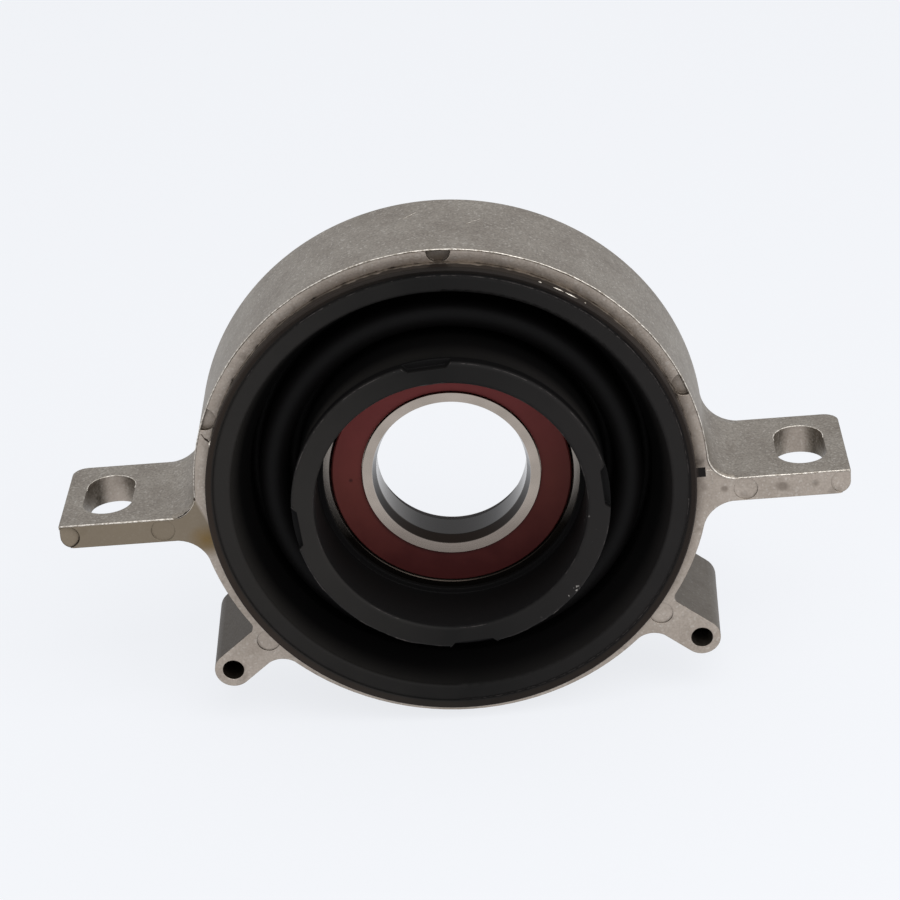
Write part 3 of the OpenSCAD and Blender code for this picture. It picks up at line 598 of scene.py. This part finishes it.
def makeTubeSteel():
    # drawn steel tube: grey metal, brown-black at the front where a film of rubber crept over it
    s = tubeSet
    material, tree, shader = newMaterial("drawn steel tube, plated")
    where = addNode(tree, "TexCoord").outputs["Object"]
    streak = addNode(tree, "TexNoise", {"Scale": scaleFor(s["streakMm"]), "Detail": 3.0},
                     {"Vector": where})
    base = addNode(tree, "ValToRGB", {"ramp": [(0.3, s["deep"]), (0.7, s["pale"])]},
                   {0: streak.outputs["Fac"]})
    split = addNode(tree, "SeparateXYZ", {}, {0: where})
    ragged = addNode(tree, "Math", {"operation": "MULTIPLY_ADD", 1: s["raggedMm"] * mm},
                     {0: streak.outputs["Fac"], 2: split.outputs[1]})
    film = addNode(tree, "MapRange", spanMm(s["filmMm"]), {"Value": ragged.outputs[0]})
    coated = addNode(tree, "Mix", {"data_type": "RGBA", 7: linear(s["film"])},
                     {0: film.outputs[0], 6: base.outputs[0]})
    tree.links.new(coated.outputs[2], shader.inputs["Base Color"])
    metal = addNode(tree, "MapRange", {"To Min": 1.0, "To Max": 0.0}, {"Value": film.outputs[0]})
    tree.links.new(metal.outputs[0], shader.inputs["Metallic"])
    rough = addNode(tree, "MapRange", {"To Min": s["rough"][0], "To Max": s["rough"][1]},
                    {"Value": streak.outputs["Fac"]})
    tree.links.new(rough.outputs[0], shader.inputs["Roughness"])
    shader.inputs["Specular IOR Level"].default_value = s["shine"]
    return material


plainSet = {
    "steel strip, pressed": {"pale": "#a09c92", "deep": "#8a867c", "rough": (0.3, 0.45), "streakMm": (2, 2, 2)},
    "bearing steel, lapped": {"pale": "#c9c9c8", "deep": "#bcbcbb", "rough": (0.06, 0.1), "streakMm": (1, 1, 1)},
}


def makePlainSteel(name):
    # pressed strip and lapped balls: grey metal, dull or mirror-bright, with faint clouding
    look = plainSet[name]
    material, tree, shader = newMaterial(name)
    where = addNode(tree, "TexCoord").outputs["Object"]
    stretched = addNode(tree, "VectorMath",
                        {"operation": "MULTIPLY", 1: [scaleFor(size) for size in look["streakMm"]]}, {0: where})
    streak = addNode(tree, "TexNoise", {"Scale": 1.0, "Detail": 3.0}, {"Vector": stretched.outputs[0]})
    base = addNode(tree, "ValToRGB", {"ramp": [(0.3, look["deep"]), (0.7, look["pale"])]},
                   {0: streak.outputs["Fac"]})
    tree.links.new(base.outputs[0], shader.inputs["Base Color"])
    shader.inputs["Metallic"].default_value = 1.0
    rough = addNode(tree, "MapRange", {"To Min": look["rough"][0], "To Max": look["rough"][1]},
                    {"Value": streak.outputs["Fac"]})
    tree.links.new(rough.outputs[0], shader.inputs["Roughness"])
    return material


castAluminium = makeCastAluminium()
tornAluminium, shadowLine, bareSteel = [makeTornMetal(name) for name in tornSet]
rubber = makeRubber()
rubberFin = makeRubberFin()
innerSteel = makeRaceSteel("bearing steel, ground and polished", "inner", True)
outerSteel = makeRaceSteel("bearing steel, ground", "outer", False)
sealRubber = makeSealRubber()
tubeSteel = makeTubeSteel()
stripSteel, ballSteel = [makePlainSteel(name) for name in plainSet]

dress("bracket", castAluminium)
dress("rubber_bellows", rubber)
dress("inner_ring", innerSteel)
dress("outer_ring", outerSteel)
for name in ("front_seal", "rear_seal"):
    dress(name, sealRubber)
for name in ("outer_sleeve", "bearing_sleeve"):
    dress(name, tubeSteel)
for name in ("front_cage_half", "rear_cage_half", "cage_rivets"):
    dress(name, stripSteel)
for name in nodes:
    if name.startswith("ball_"):
        dress(name, ballSteel)
print("finishes made")


def wobble(x, seed):  # smooth chance from 0 to 1 along a line, x in waves
    return 0.5 + 0.5 * noise.noise(Vector((x, seed * 7.3, seed * 1.9)))


def between(stops, x):  # straight lines between the stops
    for (x0, y0), (x1, y1) in zip(stops, stops[1:]):
        if x <= x1:
            return y0 + (y1 - y0) * (x - x0) / (x1 - x0)
    return stops[-1][1]


def atAngle(radiusMm, yMm, degrees):
    a = math.radians(degrees)
    return Vector((radiusMm * math.cos(a), yMm, radiusMm * math.sin(a)))


def loft(verts, faces, rings, insideOut=False):  # a closed skin over rings of places in mm
    first, around = len(verts), len(rings[0])
    last = first + (len(rings) - 1) * around
    verts += [place * mm for ring in rings for place in ring]
    loops = []
    for start in range(first, last, around):
        for k in range(around):
            low, high = start + k, start + (k + 1) % around
            loops.append((low, high, high + around, low + around))
    loops.append(tuple(range(first + around - 1, first - 1, -1)))
    loops.append(tuple(range(last, last + around)))
    faces += [loop[::-1] for loop in loops] if insideOut else loops


ridgeShape = [(-1, 0), (-0.45, 0.75), (0.05, 1), (0.5, 0.65), (1, 0)]  # across in half widths, up in heights


def ridge(verts, faces, spine, sinkMm):  # a crumpled ridge along points of (place, up, half width, height)
    rings = []
    for i, (place, up, width, height) in enumerate(spine):
        ahead = spine[min(i + 1, len(spine) - 1)][0] - spine[max(i - 1, 0)][0]
        side = ahead.cross(up).normalized()
        rings.append([place + side * across * width + up * (rise * height if rise else -sinkMm)
                      for across, rise in ridgeShape])
    loft(verts, faces, rings)


def makePiece(name, verts, faces, material):
    mesh = bpy.data.meshes.new(name)
    mesh.from_pydata(verts, [], faces)
    mesh.polygons.foreach_set("use_smooth", [True] * len(mesh.polygons))
    mesh.materials.append(material)
    piece = bpy.data.objects.new(name, mesh)
    bpy.context.scene.collection.objects.link(piece)
    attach(piece, "housing")


castFlashSet = {
    "frontMm": -14.5, "rimMm": 59.0, "earTopMm": -2.6, "earEndMm": 91.0,
    "filletAtMm": (65.34, 3.85), "filletMm": 6.5, "filletSteps": 30,  # centre and radius of the fillet above an ear
    "rimFromDeg": 3.4, "stepMm": 0.35, "widthMm": 0.22, "heightMm": 0.42, "sinkMm": 0.15,
    "patchMm": 7, "toothMm": 1.6, "knockMm": 9, "swellMm": 2.3,  # wave lengths of its height and width
    "buried": -0.35, "lean": (0.8, 0.6),  # level at which it is gone, and its slant outwards and forwards
    "leftGapMm": (-64.6, -59.0),  # no flash along the left ear's root, where a painted shadow line runs
    "rightEar": 0.75, "leftEar": 0.35,  # share of the rim's flash that the ears have
    "fades": [(0, 0.35), (18, 0.35), (30, 1.0), (85, 0.95), (100, 0.6), (142, 0.55), (149, 0.1), (180, 0.1)],
    "slotAtMm": (81.0, 4.55), "slotMm": 5.8, "slotDeg": (-12, 192), "slotSteps": 40,
    "slotWidthMm": (0.08, 0.12), "slotRiseMm": 0.12,
    "partingMm": [[(58.1, -0.05), (59.98, -0.2), (60.6, -0.85)], [(59.58, -1.0), (59.65, -3.6)]],  # by the tab
    "partingSteps": 13, "partingWidthMm": (0.06, 0.1), "partingHighMm": (0.02, 0.08), "partingSinkMm": 0.05,
}


def makeCastFlash():
    s = castFlashSet
    cx, cz = s["filletAtMm"]
    right = []  # from the ear's end to the rim, as (place, normal)
    for i in range(int((s["earEndMm"] - cx) / s["stepMm"])):
        place = Vector((s["earEndMm"] - i * s["stepMm"], s["frontMm"], s["earTopMm"]))
        right.append((place, Vector((0, 0, 1))))
    for i in range(s["filletSteps"]):
        a = math.radians(270 - i * (90 - s["rimFromDeg"]) / s["filletSteps"])
        out = Vector((math.cos(a), 0, math.sin(a)))
        right.append((Vector((cx, s["frontMm"], cz)) + out * s["filletMm"], -out))
    flip = Matrix.Scale(-1, 3, Vector((1, 0, 0)))
    line = list(right)
    span = 180 - 2 * s["rimFromDeg"]
    count = int(math.radians(span) * s["rimMm"] / s["stepMm"])
    for i in range(count + 1):
        a = s["rimFromDeg"] + span * i / count
        line.append((atAngle(s["rimMm"], s["frontMm"], a), atAngle(1, 0, a)))
    line += [(flip @ place, flip @ out) for place, out in reversed(right)]

    spine = []
    for i, (place, out) in enumerate(line):
        x = i * s["stepMm"]
        patch = 1.2 * max(0, wobble(x / s["patchMm"], 1) - 0.3)
        level = 0.15 + patch + 0.5 * (wobble(x / s["toothMm"], 2) - 0.5)
        if s["leftGapMm"][0] < place.x < s["leftGapMm"][1]:
            level = s["buried"]
        elif place.z < cz:
            level *= s["rightEar"] if place.x > 0 else s["leftEar"]
        else:
            level *= between(s["fades"], math.degrees(math.atan2(place.z, place.x)))
        up = (out * s["lean"][0] + Vector((0, -s["lean"][1], 0))).normalized()
        crumpled = 5 * max(0, wobble(x / s["knockMm"], 4) - 0.6)  # wide where a knock has rolled it over
        width = s["widthMm"] * (0.6 + 0.7 * wobble(x / s["swellMm"], 3) + max(level, 0) * crumpled)
        spine.append((place, up, width, s["heightMm"] * max(level, s["buried"])))
    verts, faces = [], []
    ridge(verts, faces, spine, s["sinkMm"])

    for side in (-1, 1):  # the far edges of the slots
        spine = []
        for i in range(s["slotSteps"] + 1):
            a = math.radians(s["slotDeg"][0] + (s["slotDeg"][1] - s["slotDeg"][0]) * i / s["slotSteps"])
            place = Vector((side * s["slotAtMm"][0] + s["slotMm"] * math.cos(a),
                            s["slotAtMm"][1] + s["slotMm"] * math.sin(a), s["earTopMm"]))
            width = s["slotWidthMm"][0] + s["slotWidthMm"][1] * wobble(i / 4, 5 + side)
            fade = math.sin(math.pi * i / s["slotSteps"])
            spine.append((place, Vector((0, 0, 1)), width, s["slotRiseMm"] * fade * wobble(i / 6, 8 + side)))
        ridge(verts, faces, spine, s["sinkMm"])
    for path in s["partingMm"]:
        spine = []
        for start, end in zip(path, path[1:]):
            for i in range(s["partingSteps"]):
                x, z = Vector(start).lerp(Vector(end), i / s["partingSteps"])
                width = s["partingWidthMm"][0] + s["partingWidthMm"][1] * wobble(x * 3 + z * 2, 6)
                height = s["partingHighMm"][0] + s["partingHighMm"][1] * wobble(x * 2 - z * 3, 9)
                spine.append((Vector((x, s["frontMm"], z)), Vector((0, -1, 0)), width, height))
        ridge(verts, faces, spine, s["partingSinkMm"])
    makePiece("castingFlash", verts, faces, tornAluminium)


shadowLineSet = {
    "pathsMm": [  # painted shadow lines along the left ear's root, at a pit above it, and along the edge of the left pin mark
        [(-64.9, -2.95), (-63.5, -2.6), (-62.5, -2.2), (-61.4, -1.5), (-60.25, -0.4)],
        [(-59.0, 1.5), (-58.92, 2.5)],
        [(-55.45, 18.4), (-54.75, 17.2), (-54.15, 16.55), (-53.85, 16.15)],
    ],
    "frontMm": -14.5, "widthMm": (0.07, 0.36), "heightMm": 0.05, "sinkMm": 0.02, "strayMm": 0.14, "steps": 12,
}


def makeShadowLines():  # painted shadow: dark hairlines where edges throw thin shadows
    s = shadowLineSet
    verts, faces = [], []
    for n, path in enumerate(s["pathsMm"]):
        spine = []
        total = s["steps"] * (len(path) - 1)
        for i in range(total + 1):
            k = min(i // s["steps"], len(path) - 2)
            x, z = Vector(path[k]).lerp(Vector(path[k + 1]), i / s["steps"] - k)
            stray = s["strayMm"] * (wobble(i / 3, n + 3) - 0.5)
            width = s["widthMm"][0] + s["widthMm"][1] * math.sin(math.pi * i / total) * wobble(i / 5, n + 6)
            spine.append((Vector((x, s["frontMm"], z + stray)), Vector((0, -1, 0)), width, s["heightMm"]))
        ridge(verts, faces, spine, s["sinkMm"])
    makePiece("shadowLine", verts, faces, shadowLine)


rootSet = {
    "rimMm": (59.0, 59.4), "filletMm": (6.5, 9.3), "yMm": (-13.9, 15.48),  # at the front and at the back
    "earTopMm": -2.6, "sinkMm": 0.03, "deepMm": 1, "sections": 16, "points": 18,
    "runOutDeg": [(5.0, 11.0), (-15.1, -20.5)],  # the root's sharp back edge fades into the ring's rounded one
    "edgeMm": (59.39, 15.49), "roundMm": 1.2, "insideMm": (57.8, 13.9),  # the ring's back corner, and under it
    "runOutSteps": 20, "roundPoints": 11,
}


def makeRootFillet():  # above each ear's root the fillet grows towards the back
    s = rootSet
    verts, faces = [], []
    for side in (-1, 1):
        rings = []
        for n in range(s["sections"] + 1):
            rim, fillet, y = [front + (back - front) * (n / s["sections"])
                              for front, back in (s["rimMm"], s["filletMm"], s["yMm"])]
            rim -= s["sinkMm"]
            cz = s["earTopMm"] - s["sinkMm"] + fillet
            cx = math.sqrt((rim + fillet) ** 2 - cz ** 2)
            start, end = math.pi * 1.5, math.pi + math.atan2(cz, cx)  # from the ear's top to the wall
            angles = [start + (end - start) * k / (s["points"] - 1) for k in range(s["points"])]
            outline = [(cx + fillet * math.cos(a), cz + fillet * math.sin(a)) for a in angles]
            inner, low = rim - s["deepMm"], s["earTopMm"] - s["deepMm"]
            wall = Vector((cx, cz)) * inner / (rim + fillet)
            outline += [(wall.x, wall.y), (math.sqrt(inner ** 2 - low ** 2), low), (cx, low)]
            rings.append([Vector((side * x, y, z)) for x, z in outline])
        loft(verts, faces, rings, insideOut=side > 0)
        for start, end in s["runOutDeg"]:
            rings = []
            for i in range(s["runOutSteps"] + 1):
                angle = start + (end - start) * i / s["runOutSteps"]
                sharp = 0.5 + 0.5 * math.cos(math.pi * i / s["runOutSteps"])
                outline = [Vector(s["insideMm"])]
                for k in range(s["roundPoints"]):
                    turn = math.pi / 2 * k / (s["roundPoints"] - 1)
                    out = Vector((math.cos(turn), math.sin(turn)))
                    square = out / max(out)  # where the corner would be without its rounding
                    outline.append(Vector(s["edgeMm"]) + s["roundMm"] * (out.lerp(square, sharp) - Vector((1, 1))))
                rings.append([atAngle(at.x, at.y, angle if side > 0 else 180 - angle) for at in outline])
            loft(verts, faces, rings, insideOut=(end > start) != (side > 0))
    makePiece("earRootFillet", verts, faces, castAluminium)


scratchSet = {
    "lines": [((95.75, 5.4), (93.1, 8.0)), ((81.9, 0.4), (78.9, 3.8))],  # angle and distance of each end
    "wallMm": 59.2, "draft": 0.0133, "widthMm": 0.09, "heightMm": 0.04, "sinkMm": 0.06, "steps": 20,
}


def makeScratches():  # bright scratches on the top of the wall
    s = scratchSet
    verts, faces = [], []
    for n, (start, end) in enumerate(s["lines"]):
        spine = []
        for i in range(s["steps"] + 1):
            angle, y = Vector(start).lerp(Vector(end), i / s["steps"])
            fade = math.sin(math.pi * (i + 1) / (s["steps"] + 2)) * wobble(i / 4, n)
            spine.append((atAngle(s["wallMm"] + s["draft"] * y, y, angle), atAngle(1, 0, angle),
                          s["widthMm"] * (0.4 + fade), s["heightMm"]))
        ridge(verts, faces, spine, s["sinkMm"])
    makePiece("wallScratches", verts, faces, tornAluminium)


skinSet = {
    "marksDeg": (22, 88, 158), "halfDeg": 2.8, "radiiMm": (58.6, 59.0), "frontMm": -14.5, "backMm": -13.2,
    "raggedMm": 0.12, "halfSteps": 7,
}


def makeMarkSkin():  # thin walls left outside the pin marks in the rim
    s = skinSet
    inner, outer = s["radiiMm"]
    verts, faces = [], []
    for mark in s["marksDeg"]:
        rings = []
        for i in range(2 * s["halfSteps"] + 1):
            a = mark + s["halfDeg"] * (i / s["halfSteps"] - 1)
            front = s["frontMm"] + s["raggedMm"] * wobble(i / 3, mark)
            outline = ((inner, front), (outer, front), (outer, s["backMm"]), (inner, s["backMm"]))
            rings.append([atAngle(radius, y, a) for radius, y in outline])
        loft(verts, faces, rings)
    makePiece("rimMarkSkin", verts, faces, castAluminium)


dishSet = {
    "atMm": (-89.4, -5.5), "radiusMm": 2.73, "floorMm": -13.3, "frontMm": -14.5,
    "endMm": -91.2, "bottomMm": -8.4, "cornerMm": 3.0,  # the ear's end, under side and rounded corner
    "fallTo": (-0.75, -0.66), "sinkMm": 0.05, "trimMm": 0.01, "rings": 6, "points": 64, "hub": 0.3,
}


def makeEarDish():  # the pin mark at the left ear's end, sunk on one side only
    s = dishSet

    def onEar(x, z):
        cornerX, cornerZ = s["endMm"] + s["cornerMm"], s["bottomMm"] + s["cornerMm"]
        if x < cornerX and z < cornerZ and math.hypot(x - cornerX, z - cornerZ) > s["cornerMm"]:
            return False
        return x >= s["endMm"] and z >= s["bottomMm"]

    rings, count = s["rings"], s["points"]
    cx, cz = s["atMm"]
    verts, faces = [], []
    for ring in range(rings + 2):  # the last ring closes the side
        for i in range(count):
            a = 2 * math.pi * i / count
            reach = s["radiusMm"]
            while not onEar(cx + reach * math.cos(a), cz + reach * math.sin(a)):
                reach -= s["trimMm"]
            out = reach * (min(ring, rings) + s["hub"]) / (rings + s["hub"])
            x, z = cx + out * math.cos(a), cz + out * math.sin(a)
            fall = ((x - cx) * s["fallTo"][0] + (z - cz) * s["fallTo"][1]) / s["radiusMm"]
            filled = min(1, max(0, 0.12 + 0.62 * (fall + 0.6)))  # from the mark's floor to the ear's face
            y = s["floorMm"] + (s["frontMm"] - s["floorMm"]) * filled
            verts.append(Vector((x, s["floorMm"] + s["sinkMm"] if ring > rings else y, z)) * mm)
    for ring in range(rings + 1):
        for i in range(count):
            a, b = ring * count + i, ring * count + (i + 1) % count
            faces.append((a, a + count, b + count, b))
    faces.append(tuple(range(count)))
    faces.append(tuple(range((rings + 2) * count - 1, (rings + 1) * count - 1, -1)))
    makePiece("earMarkDish", verts, faces, castAluminium)


lipFlashSet = {
    "rings": [  # radius and distance, outward share, height and least level of each line
        {"mm": (54.22, -17.92), "lean": 0.7, "heightMm": 0.26, "floor": 0.15, "on": "outer lip"},
        {"mm": (35.92, -24.3), "lean": 0.7, "heightMm": 0.26, "floor": 0.05, "on": "inner lip, outside"},
        {"mm": (31.2, -24.25), "lean": -0.7, "heightMm": 0.24, "floor": 0.0, "on": "inner lip, mouth"},
    ],
    "fades": [(0, 0.8), (30, 1.0), (120, 1.0), (150, 0.2), (200, 0.0), (320, 0.1), (360, 0.8)],  # by angle
    "widthMm": 0.16, "sinkMm": 0.08, "stepDeg": 0.6, "forward": 0.7, "buried": -0.2,
    "patchMm": 5, "toothMm": 1.1,  # wave lengths of its height
    "notchesDeg": (4, 94, 184, 274), "notchHalfDeg": 10.6,  # the inner lip's outside is cut away there
    "notchPathMm": [(35.7, -5.6), (34.55, -4.4), (34.55, 4.4), (35.7, 5.6)], "notchYMm": -24.46,  # out and along
    "notchWidthMm": 0.11, "notchHighMm": 0.2, "notchSteps": 20,
}


def makeLipFlash():
    s = lipFlashSet
    verts, faces = [], []
    for n, ring in enumerate(s["rings"]):
        radius, y = ring["mm"]
        count = int(360 / s["stepDeg"])
        runs = [[]]
        for i in range(count + 1):
            a = 360 * i / count
            fromNotch = min(min(abs(a - notch), 360 - abs(a - notch)) for notch in s["notchesDeg"])
            if ring["on"] == "inner lip, outside" and fromNotch < s["notchHalfDeg"]:
                runs.append([])
                continue
            turn = Vector((math.cos(math.radians(a)), math.sin(math.radians(a)))) * radius
            patch = noise.noise(Vector((turn.x / s["patchMm"], turn.y / s["patchMm"], n * 3.1)))
            tooth = noise.noise(Vector((turn.x / s["toothMm"], turn.y / s["toothMm"], n * 5.7)))
            level = min(1.0, ring["floor"] + 1.3 * max(0, patch + 0.05) + 0.35 * tooth)
            if ring["on"] == "outer lip":
                level = level * between(s["fades"], a) - 0.15
            up = (atAngle(ring["lean"], 0, a) + Vector((0, -s["forward"], 0))).normalized()
            height = ring["heightMm"] * max(level, s["buried"])
            runs[-1].append((atAngle(radius, y, a), up, s["widthMm"], height))
        for spine in runs:
            if len(spine) > 3:
                ridge(verts, faces, spine, s["sinkMm"])
    for notch in s["notchesDeg"]:  # torn edges of the notches
        path = [Vector(corner) for corner in s["notchPathMm"]]
        out, along = atAngle(1, 0, notch), atAngle(1, 0, notch + 90)
        for start, end in zip(path, path[1:]):
            spine = []
            lean = Vector((end.y - start.y, start.x - end.x)).normalized()
            up = (out * lean.x + along * lean.y).normalized()
            for i in range(s["notchSteps"] + 1):
                at = start.lerp(end, i / s["notchSteps"])
                fade = math.sin(math.pi * (i + 1) / (s["notchSteps"] + 2))
                level = max(0, wobble(i / 3 + notch, 4) - 0.3) * fade
                spine.append((out * at.x + along * at.y + Vector((0, s["notchYMm"], 0)), up,
                              s["notchWidthMm"], s["notchHighMm"] * level))
            ridge(verts, faces, spine, s["sinkMm"])
    makePiece("lipFlash", verts, faces, rubberFin)


bareSet = {
    "radiusMm": 56.0, "yMm": -17.45, "widthMm": 0.34, "heightMm": 0.2, "sinkMm": 0.1, "steps": 24,
    "arcs": [  # start and end in degrees, and size
        (61.4, 58.7, 1), (58.5, 55.2, 1), (65.0, 64.2, 1), (53.4, 52.9, 1), (163.0, 161.3, 2.2),
    ],
}


def makeBareEdge():  # slivers of the outer sleeve's steel that the rubber leaves bare
    s = bareSet
    verts, faces = [], []
    for start, end, size in s["arcs"]:
        spine = []
        for i in range(s["steps"] + 1):
            a = start + (end - start) * i / s["steps"]
            fade = math.sin(math.pi * i / s["steps"]) * (0.4 + 0.6 * wobble(i / 5, start))
            spine.append((atAngle(s["radiusMm"], s["yMm"], a), atAngle(1, 0, a),
                          s["widthMm"] * size * (0.25 + fade), s["heightMm"] * size * fade))
        ridge(verts, faces, spine, s["sinkMm"])
    makePiece("bareSleeveEdge", verts, faces, bareSteel)


makeCastFlash()
makeShadowLines()
makeRootFillet()
makeScratches()
makeMarkSkin()
makeEarDish()
makeLipFlash()
makeBareEdge()
print("flash and bare edges made")
